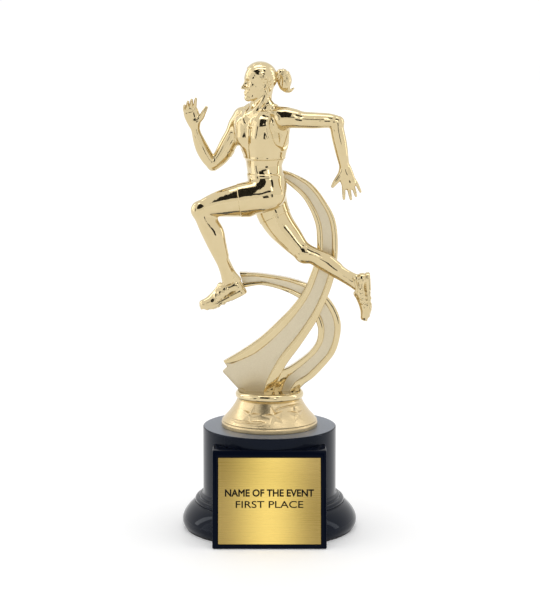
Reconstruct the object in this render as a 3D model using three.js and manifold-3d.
// Figure trophy: a plated runner and two sweeps on a star collar, bolted to a round weighted base.
// Millimetres. +Z is up, the plate faces -Y, and the runner runs towards -X.
// The origin is the centre of the felt pad's underside.
import * as THREE from "three";
import { mergeVertices } from "three/addons/utils/BufferGeometryUtils.js";
import Module from "manifold-3d";

const wasm = await Module();
wasm.setup();

// Base sizes
const BASE_HEIGHT = 50;
const DRUM_RADIUS = 32.2;
const FOOT_RADIUS = 42.3;
const WALL = 2.4;
const PAD_THICKNESS = 0.8;
const PAD_RADIUS = FOOT_RADIUS - 1.7;
// Plate holder and plate
const HOLDER_WIDTH = 53.6;
const HOLDER_TOP = 44.8;
const HOLDER_BOTTOM = 0.3;
const HOLDER_TOP_Y = -(DRUM_RADIUS + 1);
const HOLDER_STANDOFF = 1.154;
const HOLDER_BOTTOM_Y = -slopeReach();
const PLATE_MARGIN = 2.75;
const PLATE_WIDTH = HOLDER_WIDTH - 2 * PLATE_MARGIN;
const PLATE_THICKNESS = 0.6;
const ADHESIVE = 0.2;
const RECESS_DEPTH = 0.5;
// Rod and its fastenings
const ROD_RADIUS = 3.1;
const ROD_CLEARANCE = 0.3;
const NUT_ACROSS = 11.1;
const NUT_THICKNESS = 5.5;
// Collar
const COLLAR_RADIUS = 23.2;
const DISC_LEVEL = BASE_HEIGHT + 17;
const TOP_PLATE = 3.8;
const STAR_PLACES = [-0.52, 0.11, 0.77];
const STAR_TURN = 0.2;
// Sweeps
const SWEEP_FRONT = 2.5;
const MAIN_THICKNESS = 4.0;
const LOOP_THICKNESS = 6.4;
const RIM_HEIGHT = 0.9;
const FOOT_DEPTH = 2.2;
// Runner
const SOCKET_GAP = 0.3;
const SKIN_GAP = 0.3;
const CLOTH = 0.35;
const PLUG_RADIUS = 3;
const SEAT_GAP = 0.3;

const v = (x, y, z) => new THREE.Vector3(x, y, z);

// A closed geometry as a manifold solid.
function solid(geometry) {
  const g = geometry.clone();
  g.deleteAttribute("normal");
  g.deleteAttribute("uv");
  const merged = mergeVertices(g, 1e-4);
  return new wasm.Manifold(
    new wasm.Mesh({
      numProp: 3,
      vertProperties: new Float32Array(merged.attributes.position.array),
      triVerts: new Uint32Array(merged.index.array),
    }),
  );
}

function join(list) {
  return list.reduce((sum, next) => sum.add(next));
}

// The largest of the separate lumps a cut leaves behind.
function largest(body) {
  const lumps = body.decompose();
  return lumps.reduce((a, b) => (a.volume() > b.volume() ? a : b));
}

// A skin through rings of equal length, closed by a fan at each end.
function loft(rings) {
  const n = rings[0].length;
  const points = rings.flat();
  const faces = [];
  for (let i = 0; i + 1 < rings.length; i++)
    for (let j = 0; j < n; j++) {
      const a = i * n + j;
      const b = i * n + ((j + 1) % n);
      faces.push([a, b, b + n], [a, b + n, a + n]);
    }
  for (const end of [0, rings.length - 1]) {
    const middle = v(0, 0, 0);
    rings[end].forEach((p) => middle.addScaledVector(p, 1 / n));
    points.push(middle);
    for (let j = 0; j < n; j++) {
      const a = end * n + j;
      const b = end * n + ((j + 1) % n);
      faces.push(end ? [a, b, points.length - 1] : [b, a, points.length - 1]);
    }
  }
  const g = new THREE.BufferGeometry();
  g.setAttribute("position", new THREE.Float32BufferAttribute(points.flatMap((p) => [p.x, p.y, p.z]), 3));
  g.setIndex(faces.flat());
  return solid(g);
}

// A round-ended limb through stations [x, y, z, side radius, sideways radius], all radii grown by grow.
function limb(stations, grow = 0, sides = 12) {
  const at = stations.map((s) => v(s[0], s[1], s[2]));
  const last = at.length - 1;
  const along = at.map((p, i) => at[Math.min(i + 1, last)].clone().sub(at[Math.max(i - 1, 0)]).normalize());
  const rings = [];
  const ring = (i, scale, shift) => {
    const radius = stations[i][3] + grow;
    const wide = (stations[i][4] ?? stations[i][3]) + grow;
    let across = v(0, 1, 0).addScaledVector(along[i], -along[i].y);
    across = across.length() < 0.3 ? v(1, 0, 0).addScaledVector(along[i], -along[i].x) : across;
    across.normalize();
    const up = across.clone().cross(along[i]).normalize();
    rings.push(
      Array.from({ length: sides }, (_, j) => {
        const t = (2 * Math.PI * j) / sides;
        return at[i]
          .clone()
          .addScaledVector(along[i], shift * Math.min(radius, wide))
          .addScaledVector(across, wide * scale * Math.cos(t))
          .addScaledVector(up, -radius * scale * Math.sin(t));
      }),
    );
  };
  ring(0, 0.42, -0.9);
  ring(0, 0.8, -0.6);
  for (let i = 0; i <= last; i++) ring(i, 1, 0);
  ring(last, 0.8, 0.6);
  ring(last, 0.42, 0.9);
  const made = loft(rings);
  return made.volume() > 0 ? made : loft(rings.reverse());
}

// An ellipsoid at (x, y, z) with half sizes a, b, c along X, Y, Z.
function egg(x, y, z, a, b, c, sides = 16) {
  const g = new THREE.SphereGeometry(1, sides, Math.round(sides * 0.6));
  g.rotateX(Math.PI / 2);
  g.scale(a, b, c);
  g.translate(x, y, z);
  return solid(g);
}

// A bar along Z from z0 to z1; six sides make a hexagon of the given corner radius.
function bar(radius, z0, z1, sides = 32) {
  const g = new THREE.CylinderGeometry(radius, radius, z1 - z0, sides);
  g.rotateX(Math.PI / 2);
  g.translate(0, 0, (z0 + z1) / 2);
  return solid(g);
}

// A turned solid from a closed [radius, height] profile.
function turned(profile, sides = 56) {
  const loop = [...profile, profile[0]].map(([r, z]) => new THREE.Vector2(r, z));
  const g = new THREE.LatheGeometry(loop, sides);
  g.rotateX(Math.PI / 2);
  const made = solid(g);
  if (made.volume() > 0) return made;
  const back = new THREE.LatheGeometry(loop.reverse(), sides);
  back.rotateX(Math.PI / 2);
  return solid(back);
}

// The outside of the base: foot, stepped ring and drum, as [radius, height].
function baseOutline(grow = 0) {
  const f = FOOT_RADIUS + grow;
  const d = DRUM_RADIUS + grow;
  return [
    [f - 1.3, PAD_THICKNESS - grow],
    [f - 0.4, 1.8],
    [f, 3.6],
    [f - 0.3, 5.6],
    [f - 1.3, 7.6],
    [f - 2.6, 9.5],
    [f - 4.2, 11.3],
    [f - 6.0, 12.6],
    [f - 6.8, 13.2],
    [d + 3.9, 13.7],
    [d + 3.9, 14.7],
    [d + 2.3, 15.7],
    [d + 1.1, 16.5],
    [d + 0.3, 17.4],
    [d, 18.5],
    [d, BASE_HEIGHT - 0.8 + grow],
    [d - 0.8, BASE_HEIGHT + grow],
  ];
}

// How far out the plate's slope has to reach at the bottom to stand clear of the foot all the way down.
function slopeReach() {
  const foot = baseOutline().filter(([, z]) => z < 20);
  const needed = foot.map(([r, z]) => {
    const share = (HOLDER_TOP - z) / (HOLDER_TOP - HOLDER_BOTTOM);
    return (r + HOLDER_STANDOFF + HOLDER_TOP_Y) / share - HOLDER_TOP_Y;
  });
  return Math.max(...needed);
}

function baseBlock(grow) {
  return turned([[0, PAD_THICKNESS - grow], ...baseOutline(grow), [0, BASE_HEIGHT + grow]]);
}

const PEG_X = 12;
const PEG_Z = 30;
const PEG_RADIUS = 1.8;

function holderPegs(grow, inner) {
  return [-PEG_X, PEG_X].map((x) => {
    const g = new THREE.CylinderGeometry(PEG_RADIUS + grow, PEG_RADIUS + grow, 40 - inner, 20);
    g.translate(x, -(40 + inner) / 2, PEG_Z);
    return solid(g);
  });
}

// The hollow moulded base: an upright drum wall, a top plate and a hollow domed foot.
function baseShell() {
  const d = DRUM_RADIUS;
  const f = FOOT_RADIUS;
  const inner = d - WALL;
  const hole = ROD_RADIUS + ROD_CLEARANCE;
  const body = turned([
    ...baseOutline(),
    [hole, BASE_HEIGHT],
    [hole, BASE_HEIGHT - 3],
    [inner, BASE_HEIGHT - 3],
    [inner, PAD_THICKNESS],
    [d, PAD_THICKNESS],
    [d, 9.6],
    [d + 3.2, 9.6],
    [f - 4.9, 8.0],
    [f - 3.5, 6.0],
    [f - 2.7, 4.0],
    [f - 3.6, PAD_THICKNESS],
  ]);
  return body.subtract(join(holderPegs(SOCKET_GAP, d - WALL - 6)));
}

// The sloping front plane of the holder, moved out from the face by the given distance.
function slopeY(z, out = 0) {
  const slope = (HOLDER_BOTTOM_Y - HOLDER_TOP_Y) / (HOLDER_TOP - HOLDER_BOTTOM);
  return HOLDER_TOP_Y + slope * (HOLDER_TOP - z) - out * Math.hypot(1, slope);
}

// A slab that lies in the slope between two heights, from depth in to depth out of the face.
function slopeSlab(halfWidth, z0, z1, from, to) {
  const side = (x) => [
    v(x, slopeY(z0, from), z0),
    v(x, slopeY(z0, to), z0),
    v(x, slopeY(z1, to), z1),
    v(x, slopeY(z1, from), z1),
  ];
  const made = loft([side(-halfWidth), side(halfWidth)]);
  return made.volume() > 0 ? made : loft([side(halfWidth), side(-halfWidth)]);
}

// A wedge behind the slope, back to the given Y.
function wedge(halfWidth, z0, z1, inward, back) {
  const side = (x) => [
    v(x, slopeY(z0, -inward), z0),
    v(x, slopeY(z1, -inward), z1),
    v(x, back, z1),
    v(x, back, z0),
  ];
  const made = loft([side(-halfWidth), side(halfWidth)]);
  return made.volume() > 0 ? made : loft([side(halfWidth), side(-halfWidth)]);
}

const PLATE_TOP = HOLDER_TOP - 3.3;
const PLATE_BOTTOM = HOLDER_BOTTOM + 2.1;

// The sloping holder: a shell open at the back, shaped to sit on the drum and over the foot.
function plateHolder() {
  const half = HOLDER_WIDTH / 2;
  const block = wedge(half, HOLDER_BOTTOM, HOLDER_TOP, 0, -14);
  const hollow = wedge(half - WALL, HOLDER_BOTTOM - 1, HOLDER_TOP - WALL, 2.6, -10);
  const recess = slopeSlab(PLATE_WIDTH / 2 + 0.2, PLATE_BOTTOM - 0.2, PLATE_TOP + 0.2, -RECESS_DEPTH, 1);
  const pegs = join(holderPegs(0, DRUM_RADIUS - WALL - 2)).intersect(wedge(half, 20, 40, 1, 10));
  const pad = bar(PAD_RADIUS + SEAT_GAP, -1, PAD_THICKNESS + SEAT_GAP, 56);
  const shell = block.subtract(hollow).subtract(baseBlock(SEAT_GAP)).subtract(pad).subtract(recess);
  return shell.add(pegs);
}

function plateAdhesive() {
  const front = ADHESIVE - RECESS_DEPTH;
  return slopeSlab(PLATE_WIDTH / 2 - 1, PLATE_BOTTOM + 1, PLATE_TOP - 1, -RECESS_DEPTH, front);
}

function engravingPlate() {
  const back = ADHESIVE - RECESS_DEPTH;
  return slopeSlab(PLATE_WIDTH / 2, PLATE_BOTTOM, PLATE_TOP, back, back + PLATE_THICKNESS);
}

// A steel ring low in the base, so that the tall figure doesn't tip it.
function baseWeight() {
  const z = PAD_THICKNESS;
  const r = DRUM_RADIUS - WALL - SEAT_GAP;
  return turned([
    [10, z],
    [r, z],
    [r, z + 10],
    [r - 1, z + 11],
    [10, z + 11],
  ]);
}

function feltPad() {
  return bar(PAD_RADIUS, 0, PAD_THICKNESS, 56);
}

const WASHER_TOP = BASE_HEIGHT - 3;
const WASHER_THICKNESS = 1.4;
const NUT_TOP = WASHER_TOP - WASHER_THICKNESS;

function threadedRod() {
  return bar(ROD_RADIUS, NUT_TOP - NUT_THICKNESS - 3, BASE_HEIGHT + 11.5);
}

function rodNut() {
  const corner = NUT_ACROSS / Math.sqrt(3);
  const blank = bar(corner, NUT_TOP - NUT_THICKNESS, NUT_TOP, 6);
  return blank.subtract(bar(ROD_RADIUS + 0.1, 0, 90));
}

function rodWasher() {
  return bar(9, NUT_TOP, WASHER_TOP).subtract(bar(ROD_RADIUS + 0.3, 0, 90));
}

const CAPTIVE_Z = BASE_HEIGHT + 5;

function captiveNut() {
  const corner = NUT_ACROSS / Math.sqrt(3);
  return bar(corner, CAPTIVE_Z, CAPTIVE_Z + NUT_THICKNESS, 6).subtract(bar(ROD_RADIUS + 0.1, 0, 90));
}

// A thin five-pointed star with a raised centre, standing out of the collar's flare. The front and the
// back have three each, and the sides, where the mould parts, have none.
function collarStar(angle) {
  const size = 5.7;
  const count = 10;
  const rim = (depth) =>
    Array.from({ length: count }, (_, i) => {
      const r = i % 2 ? size * 0.38 : size;
      const t = Math.PI / 2 + STAR_TURN + (i * 2 * Math.PI) / count;
      return v(r * Math.cos(t), depth, r * Math.sin(t));
    });
  const peak = (depth) => rim(0).map(() => v(0, depth, 0));
  const points = [...rim(1.2), ...rim(0), v(0, -0.9, 0), v(0, 1.2, 0)];
  const faces = [];
  for (let i = 0; i < count; i++) {
    const j = (i + 1) % count;
    faces.push([i, i + count, j + count], [i, j + count, j]);
    faces.push([i + count, 2 * count, j + count], [i, j, 2 * count + 1]);
  }
  const g = new THREE.BufferGeometry();
  g.setAttribute("position", new THREE.Float32BufferAttribute(points.flatMap((p) => [p.x, p.y, p.z]), 3));
  g.setIndex(faces.flat());
  g.rotateX(-0.72);
  g.translate(0, -COLLAR_RADIUS + 3.0, BASE_HEIGHT + 6.6);
  g.rotateZ(angle);
  const made = solid(g);
  if (made.volume() > 0) return made;
  g.setIndex(faces.map(([a, b, c]) => [a, c, b]).flat());
  return solid(g);
}

// The flared collar: a hollow turned shell with a bead, a top disc and a hub for the captive nut.
function starCollar() {
  const r = COLLAR_RADIUS;
  const z = BASE_HEIGHT;
  const top = DISC_LEVEL;
  const bead = [];
  for (let i = 0; i <= 8; i++) {
    const t = -Math.PI / 2 + 0.5 + (i * (Math.PI - 0.6)) / 8;
    bead.push([r - 8.9 + 2 * Math.cos(t), z + 15.5 + 2 * Math.sin(t)]);
  }
  const shell = turned([
    [r, z],
    [r, z + 1.9],
    [r - 0.5, z + 3.2],
    [r - 1.7, z + 5],
    [r - 3.2, z + 7],
    [r - 4.9, z + 9.2],
    [r - 6.5, z + 11.2],
    [r - 7.8, z + 13.2],
    ...bead,
    [r - 9.2, top],
    [0, top],
    [0, z],
    [8.4, z],
    [8.4, top - TOP_PLATE],
    [r - 11, top - TOP_PLATE],
    [r - 10.2, z + 13.2],
    [r - 6.7, z + 7.6],
    [r - 3.4, z + 3],
    [r - 2.6, z],
  ]);
  const pocket = bar(NUT_ACROSS / Math.sqrt(3) + 0.25, z - 1, CAPTIVE_Z + NUT_THICKNESS + 0.1, 6);
  const hole = bar(ROD_RADIUS + ROD_CLEARANCE, z - 1, z + 12);
  const stars = [0, Math.PI].flatMap((side) => STAR_PLACES.map((place) => collarStar(side + place)));
  const feet = join([mainOutline(SEAT_GAP), loopOutline(SEAT_GAP)]).translate([0, 0, LIFT]);
  return join([shell, ...stars]).subtract(pocket).subtract(hole).subtract(feet);
}

// A flat plate in the X-Z plane with the given closed outline, from y0 to y1.
function upright(outline, y0, y1) {
  const shape = new THREE.Shape(outline.map(([x, z]) => new THREE.Vector2(x, z)));
  const g = new THREE.ExtrudeGeometry(shape, { depth: y1 - y0, bevelEnabled: false });
  g.rotateX(Math.PI / 2);
  g.translate(0, y1, 0);
  return solid(g);
}

// A smooth run of count points through the given ones.
function smooth(points, count) {
  const curve = new THREE.SplineCurve(points.map(([x, z]) => new THREE.Vector2(x, z)));
  return curve.getPoints(count).map((p) => [p.x, p.y]);
}

// The strip between two edges that run the same way.
function strip(left, right) {
  return [...left, ...right.slice().reverse()];
}

// Moves each point of a run sideways, to its left when amount is positive.
function offset(run, amount) {
  return run.map((p, i) => {
    const a = run[Math.max(i - 1, 0)];
    const b = run[Math.min(i + 1, run.length - 1)];
    const length = Math.hypot(b[0] - a[0], b[1] - a[1]);
    return [p[0] - (amount * (b[1] - a[1])) / length, p[1] + (amount * (b[0] - a[0])) / length];
  });
}

// The sweeps and the runner are drawn with the collar's disc at this height, then lifted onto the real one.
const DRAWN_DISC = 67;
const LIFT = DISC_LEVEL - DRAWN_DISC;
const SWEEP_FOOT = DRAWN_DISC - FOOT_DEPTH;

// Main sweep: the outer right edge and the inner left edge, both from the top down.
const MAIN_RIGHT = [
  [-3, 174.6], [6.9, 173.2], [12.6, 171.2], [18.9, 167.8], [23.2, 163.6], [27, 158.2], [30.4, 152.4],
  [32.1, 146.7], [32.8, 138.9], [32.6, 131.2], [31.8, 125], [30.2, 118.6], [28.0, 112.3], [25.1, 105.5],
  [21.9, 99.1], [14.6, 88.0], [8.2, 79.2], [3.9, 71.0], [2.0, SWEEP_FOOT],
];
const MAIN_LEFT = [
  [-3, 171.4], [3.5, 170.4], [7.0, 168.2], [12.4, 163.8], [16, 160.1], [18.4, 156.3], [20.3, 152.4],
  [22.2, 146.7], [22.8, 139.9], [22.5, 133.2], [20.9, 126.4], [19, 121.2], [17.4, 117.2], [14.9, 112.8],
  [10.4, 106.9], [5.2, 101.5], [-4.1, 92.7], [-13.8, 85.9], [-22.3, 80.8],
];
const MAIN_TAIL = [[-20.4, 77.9], [-22.6, 75.8], [-15.2, 67.4], [-12.4, SWEEP_FOOT]];

function mainOutline(grow = 0) {
  const right = offset(smooth(MAIN_RIGHT, 40), grow);
  const left = offset(smooth(MAIN_LEFT, 40), -grow);
  const tail = MAIN_TAIL.map(([x, z]) => [x - grow, z - grow]);
  right[right.length - 1][1] = SWEEP_FOOT - grow;
  right[0][0] -= grow;
  left[0][0] -= grow;
  const outline = [...right, ...[...left, ...tail].reverse()];
  return upright(outline, SWEEP_FRONT - grow, SWEEP_FRONT + MAIN_THICKNESS + grow);
}

// Cuts the recessed panel out of a front face: the strip between two edges.
function panelCut(outline) {
  return upright(outline, SWEEP_FRONT - 1, SWEEP_FRONT + RIM_HEIGHT);
}

// The points a given share of the way from one run to another of the same length.
function between(from, to, share) {
  return from.map((p, i) => [p[0] + share * (to[i][0] - p[0]), p[1] + share * (to[i][1] - p[1])]);
}

const RIM_SHARE = 0.27;

function mainSweep() {
  const right = smooth(MAIN_RIGHT, 40);
  const left = smooth(MAIN_LEFT, 40);
  const nearLeft = between(left, right, RIM_SHARE).slice(3, 37);
  const nearRight = between(right, left, RIM_SHARE).slice(3, 37);
  const foot = SWEEP_FOOT - 1;
  const end = [[-4.4, foot + 4], [-5, foot], [-14, foot], [-25, 74], [-20.6, 77.8]];
  return mainOutline().subtract(panelCut([...nearRight, ...end, ...nearLeft.reverse()]));
}

// Loop sweep: leaves the front heel, passes behind the main sweep and curls back to the collar.
const LOOP_OUTER = [
  [-14.4, 124.0], [-5.5, 123.5], [2.2, 122.5], [10.3, 121.0], [18.3, 118.4], [24, 115.4], [28.4, 111.6],
  [32, 106.4], [34, 101.4], [34.5, 96.6], [33.6, 90.6], [31.7, 84.9], [28.4, 80.2], [21.8, 73.0],
  [16.8, 69.2], [12.8, SWEEP_FOOT],
];
const LOOP_INNER = [
  [-12.4, 116.6], [-5.2, 117.8], [0.7, 117.0], [6.5, 115.2], [11, 113.2], [15.2, 110.6], [18.6, 106.8],
  [21, 103], [22.7, 99.3], [23.5, 95.4], [22.8, 90.3], [20.4, 86.4], [17.2, 83.2], [10.4, 78],
  [5.4, 73], [2.6, SWEEP_FOOT],
];

function loopOutline(grow = 0) {
  const outer = offset(smooth(LOOP_OUTER, 34), grow);
  const inner = offset(smooth(LOOP_INNER, 34), -grow);
  outer[outer.length - 1][1] = SWEEP_FOOT - grow;
  inner[inner.length - 1][1] = SWEEP_FOOT - grow;
  return upright(strip(outer, inner), SWEEP_FRONT - grow, SWEEP_FRONT + LOOP_THICKNESS + grow);
}

function loopSweep() {
  const outer = smooth(LOOP_OUTER, 34);
  const inner = smooth(LOOP_INNER, 34);
  const nearOuter = between(outer, inner, RIM_SHARE).slice(1, -3);
  const nearInner = between(inner, outer, RIM_SHARE).slice(1, -3);
  const body = loopOutline().subtract(panelCut(strip(nearOuter, nearInner)));
  return largest(body.subtract(mainOutline(SEAT_GAP)));
}

// Everything on the far side of a plane through point, along direction.
function beyond(point, direction, gap = 0) {
  const way = direction.clone().normalize();
  const g = new THREE.BoxGeometry(90, 90, 90);
  g.translate(0, 0, 45);
  g.applyQuaternion(new THREE.Quaternion().setFromUnitVectors(v(0, 0, 1), way));
  const start = point.clone().addScaledVector(way, gap);
  g.translate(start.x, start.y, start.z);
  return solid(g);
}

// The round plug that carries a bare leg in its shorts leg.
function hemPlug(point, direction, grow = 0) {
  const way = direction.clone().normalize();
  const from = point.clone().addScaledVector(way, -6 - grow);
  const to = point.clone().addScaledVector(way, 3);
  return limb([[...from.toArray(), PLUG_RADIUS], [...to.toArray(), PLUG_RADIUS]], grow);
}

// Runner, front leg: hem of the shorts, thigh, then the bare leg with its shoe.
const FRONT_HEM = v(-14.6, -8.8, 160);
const FRONT_WAY = v(-0.99, 0, -0.14);

function thighFront(grow = 0) {
  const y = -8.8;
  return limb(
    [
      [-1.5, y + 0.3, 162.6, 7.6, 6.2], [-9, y, 161, 8.3, 6.7], [-18, y - 0.2, 159, 7.1, 6.4],
      [-25.5, y, 157.6, 5.9, 5.6], [-32.4, y, 155.6, 4.7, 4.6],
    ],
    grow, 16,
  );
}

function legFront() {
  const y = -8.8;
  const shin = limb(
    [
      [-32.4, y, 154.6, 4.6], [-29.2, y + 0.2, 148, 4.9], [-26.3, y + 0.8, 142, 4.5],
      [-24.2, y + 1.8, 136, 3.7], [-22.1, y + 3.2, 130, 3.0], [-20.8, y + 4.6, 125.6, 2.9],
    ],
  );
  const shoe = join([
    limb([[-15.2, -2.2, 119.8, 4.2, 3.7], [-21.4, -2.4, 116.8, 4.6, 4.0], [-27.2, -2.6, 112.6, 3.6, 4.1],
      [-31.2, -2.6, 110.2, 2.5, 3.2]]),
    limb([[-13.6, -2.1, 117.4, 2.2, 3.6], [-21, -2.4, 112.8, 2.0, 3.7], [-27.6, -2.6, 109.3, 2.2, 4.2],
      [-31.4, -2.6, 109.2, 2.0, 3.3]]),
    limb([[-20.6, -3.9, 125, 3.8], [-19.2, -3, 120.4, 4.4]]),
  ]);
  const bare = thighFront().intersect(beyond(FRONT_HEM, FRONT_WAY, SKIN_GAP));
  return join([bare, hemPlug(FRONT_HEM, FRONT_WAY), shin, shoe]);
}

// Runner, rear leg: the same pieces, trailing to the right.
const REAR_HEM = v(3.2, 2.9, 150.8);
const REAR_WAY = v(0.42, -0.15, -0.9);

function thighRear(grow = 0) {
  return limb(
    [
      [0.6, 3.6, 159.6, 7.2, 6.0], [2.4, 3.2, 152.8, 7.8, 6.4], [5.4, 2.2, 146.6, 7.2, 6.2],
      [10.2, 0.2, 139.6, 5.6, 5.6], [14.2, -1.6, 135, 4.7, 4.7], [17, -2.4, 133, 4.5, 4.5],
    ],
    grow, 16,
  );
}

function legRear() {
  const shin = limb(
    [
      [16.6, -2.4, 133.4, 4.5], [23.6, -2.4, 131.2, 4.1, 3.9], [30.4, -2.2, 126.6, 3.9, 3.6],
      [36.4, -1.8, 122.4, 3.2], [40, -1.6, 120, 3.0],
    ],
  );
  const shoe = join([
    limb([[42.6, -1.6, 120.6, 4.4, 3.7], [43.6, -1.6, 114.4, 4.3, 3.8], [45.4, -1.6, 108, 3.6, 4],
      [46.2, -1.6, 103.6, 2.4, 3]]),
    limb([[46.8, -1.6, 121.4, 1.8, 3.2], [46.6, -1.6, 114, 1.7, 3.3], [48.3, -1.6, 107.6, 1.9, 4],
      [46.8, -1.6, 102.6, 1.4, 2.6]]),
  ]);
  const bare = thighRear().intersect(beyond(REAR_HEM, REAR_WAY, SKIN_GAP));
  const whole = join([bare, hemPlug(REAR_HEM, REAR_WAY), shin, shoe]);
  return whole.subtract(mainOutline(SEAT_GAP));
}

function finger(from, to, radius) {
  const middle = from.map((value, i) => (value + to[i]) / 2);
  middle[1] -= 0.3;
  return limb([[...from, radius], [...middle, radius], [...to, radius * 0.8]], 0, 7);
}

function armBackUpper(grow = 0) {
  return limb(
    [
      [8.4, -11, 198.2, 4.9, 4.6], [14.6, -11.2, 198.6, 4.2, 3.9], [22, -10.8, 198.2, 3.7, 3.6],
      [28.4, -10.4, 198.2, 3.5], [32.2, -10, 197.2, 3.3],
    ],
    grow,
  );
}

function armBack() {
  return join([
    armBackUpper(),
    limb([[32.6, -10, 196.6, 3.3], [33.8, -9.8, 190.6, 3.2], [35, -9.4, 184, 2.8], [36, -8.8, 178, 2.3],
      [36.4, -8.4, 174.6, 2.2]]),
    limb([[36.4, -8.3, 174.6, 2.3, 1.9], [36.8, -8, 170.4, 3.2, 1.7], [37.5, -7.8, 167.6, 3.3, 1.6]]),
    finger([34.9, -7.8, 167.6], [35.4, -8, 160.9], 1.05),
    finger([37, -7.8, 167.2], [38.4, -8, 160.8], 1.05),
    finger([38.8, -7.6, 167.4], [40.7, -7.8, 162.5], 1.0),
    finger([40, -7.4, 168.4], [42.4, -7.6, 164], 0.95),
    finger([34.6, -8.6, 172], [30.4, -9.2, 167.2], 1.15),
  ]);
}

function armForwardUpper(grow = 0) {
  return limb(
    [
      [-15, 5.4, 196.4, 4.5, 4.5], [-18.6, 5.6, 190.2, 4.4], [-22.2, 5.2, 183.2, 4.0],
      [-25.6, 4.6, 178.4, 3.2],
    ],
    grow,
  );
}

function armForward() {
  return join([
    armForwardUpper(),
    limb([[-26, 4.5, 178.2, 3.2], [-30, 3.6, 184, 3.3], [-33, 2.8, 190, 2.7], [-34.6, 2.2, 194.6, 2.1]]),
    limb([[-34.8, 2, 195.2, 2.2, 1.9], [-36.4, 1.5, 199.6, 3.5, 1.7], [-37.2, 1.2, 202.4, 3.4, 1.6]]),
    finger([-39.6, 0.8, 201.6], [-40.2, 0, 204.4], 1.0),
    finger([-38.2, 1, 202.4], [-38.6, 0.2, 206.2], 1.05),
    finger([-36.4, 1, 202.6], [-36.9, 0.2, 207.2], 1.05),
    finger([-34.8, 1, 202.6], [-34.8, 0.2, 207.6], 1.05),
    finger([-33, 1.4, 198.2], [-30.4, 0.6, 203.2], 1.15),
  ]);
}

function neck(grow = 0) {
  return limb([[-3.4, -2, 200.6, 4.9, 4.6], [-3.5, -2, 204.4, 4.4, 4.2], [-3.9, -2, 209, 4.6, 4.4]], grow);
}

function ponytail(grow = 0) {
  return limb(
    [
      [2.4, -2, 217.8, 1.4], [5, -2, 219.6, 2.2], [7.6, -2, 218.6, 3.0, 2.6], [8.6, -2, 215.4, 2.6, 2.3],
      [9.2, -2, 212.9, 1.6], [10.8, -2, 212, 0.7],
    ],
    grow, 12,
  );
}

function runnerHead() {
  const skull = join([
    egg(-3.9, -2, 217, 7.5, 6.6, 7.9, 24),
    egg(-6.6, -2.1, 211.8, 4.9, 4.8, 5.4, 20),
    limb([[-11.4, -2.2, 214.8, 0.8, 0.9], [-12.1, -2.2, 213, 1.0]], 0, 8),
    limb([[-10, -2.2, 208.6, 1.4, 1.7], [-9.6, -2.2, 208.2, 1.4, 1.8]], 0, 8),
    egg(-2.4, -8.2, 212.6, 1.5, 0.9, 2.2, 10),
    egg(-2.4, 4.2, 212.6, 1.5, 0.9, 2.2, 10),
    neck(),
  ]);
  return largest(skull.subtract(ponytail(SKIN_GAP)));
}

// The trunk: rings from the pelvis to the neck, turning with the shoulders.
function trunk() {
  const rows = [
    [157.6, -1, -2.2, 3, 4, 0], [159.2, -0.9, -2.4, 6.2, 8, 0], [163, -0.9, -2.5, 8.4, 10.4, 0],
    [168, -1.3, -2.5, 9.1, 10.8, 0], [172, -1.9, -2.5, 8.7, 9.4, 0], [176, -2.4, -2.5, 8.5, 8.0, 0.2],
    [180, -2.6, -2.5, 8.7, 8.1, 0.4], [184, -3, -2.5, 8.2, 10.2, 0.72], [188, -3.8, -2.5, 8.3, 11.2, 0.84],
    [192, -4.3, -2.5, 8.4, 12, 0.87], [196, -4.3, -2.5, 7.6, 12.2, 0.87],
    [199.4, -4.1, -2.4, 6.2, 11.4, 0.87], [201.8, -3.8, -2.2, 5.2, 8, 0.87],
    [203.6, -3.6, -2, 4.4, 4.8, 0.87],
  ];
  const sides = 24;
  const rings = rows.map(([z, x, y, deep, wide, turn]) =>
    Array.from({ length: sides }, (_, j) => {
      const t = (2 * Math.PI * j) / sides;
      const p = deep * Math.cos(t);
      const q = wide * Math.sin(t);
      return v(x + p * Math.cos(turn) - q * Math.sin(turn), y + p * Math.sin(turn) + q * Math.cos(turn), z);
    }),
  );
  const made = loft(rings);
  return made.volume() > 0 ? made : loft(rings.reverse());
}

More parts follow.
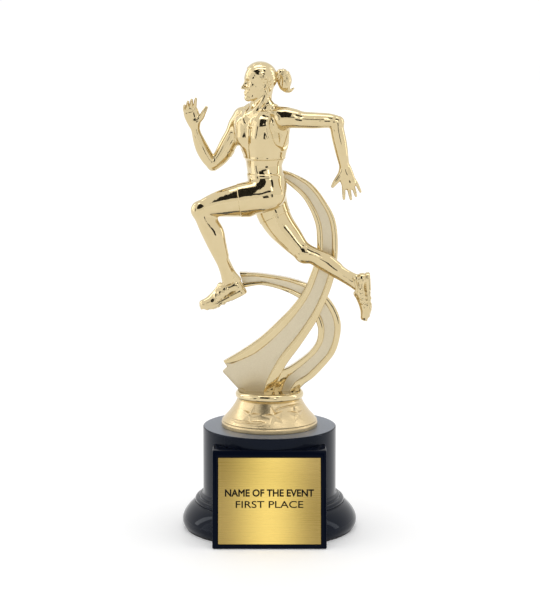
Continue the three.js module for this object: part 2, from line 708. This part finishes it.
// The clothed body: trunk, seat and the two legs of the shorts, with sockets for what is plugged in.
function runnerTorso() {
  const chest = [egg(-4.6, -10, 190.4, 4.6, 4.6, 4.8, 14), egg(-12, -3.8, 190.4, 4.6, 4.6, 4.8, 14)];
  const shorts = [
    egg(1.6, -8.2, 161.8, 6.2, 6.2, 6.6),
    thighFront(CLOTH).subtract(beyond(FRONT_HEM, FRONT_WAY)),
    thighRear(CLOTH).subtract(beyond(REAR_HEM, REAR_WAY)),
  ];
  const body = join([trunk(), ...chest, ...shorts]);
  const roots = join([
    hemPlug(FRONT_HEM, FRONT_WAY, SOCKET_GAP),
    hemPlug(REAR_HEM, REAR_WAY, SOCKET_GAP),
    armBackUpper(SOCKET_GAP),
    armForwardUpper(SOCKET_GAP),
    neck(SOCKET_GAP),
    mainOutline(SEAT_GAP),
  ]);
  return largest(body.subtract(roots));
}

const BLACK = 0x11151c;
const GOLD = 0xe3cd92;
const STEEL = 0x9a9ca0;
const group = new THREE.Group();

function add(name, body, colour, metalness, roughness, lift = 0) {
  const mesh = body.translate([0, 0, lift]).getMesh();
  const g = new THREE.BufferGeometry();
  g.setAttribute("position", new THREE.Float32BufferAttribute(mesh.vertProperties, 3));
  g.setIndex(Array.from(mesh.triVerts));
  g.computeVertexNormals();
  const made = new THREE.Mesh(g, new THREE.MeshStandardMaterial({ color: colour, metalness, roughness }));
  made.name = name;
  group.add(made);
}

add("felt_pad", feltPad(), 0x1c1c1e, 0, 0.95);
add("base_shell", baseShell(), BLACK, 0, 0.15);
add("base_weight", baseWeight(), STEEL, 1, 0.5);
add("plate_holder", plateHolder(), BLACK, 0, 0.2);
add("plate_adhesive", plateAdhesive(), 0xe6e2d2, 0, 0.8);
add("engraving_plate", engravingPlate(), 0xd9b45a, 1, 0.35);
add("threaded_rod", threadedRod(), STEEL, 1, 0.4);
add("rod_nut", rodNut(), STEEL, 1, 0.4);
add("rod_washer", rodWasher(), STEEL, 1, 0.4);
add("captive_nut", captiveNut(), STEEL, 1, 0.4);
add("star_collar", starCollar(), GOLD, 1, 0.3);
add("main_sweep", mainSweep(), GOLD, 1, 0.3, LIFT);
add("loop_sweep", loopSweep(), GOLD, 1, 0.3, LIFT);
add("runner_torso", runnerTorso(), GOLD, 1, 0.15, LIFT);
add("runner_head", runnerHead(), GOLD, 1, 0.15, LIFT);
add("ponytail", ponytail(), GOLD, 1, 0.15, LIFT);
add("arm_back", armBack(), GOLD, 1, 0.15, LIFT);
add("arm_forward", armForward(), GOLD, 1, 0.15, LIFT);
add("leg_front", legFront(), GOLD, 1, 0.15, LIFT);
add("leg_rear", legRear(), GOLD, 1, 0.15, LIFT);

export default group;
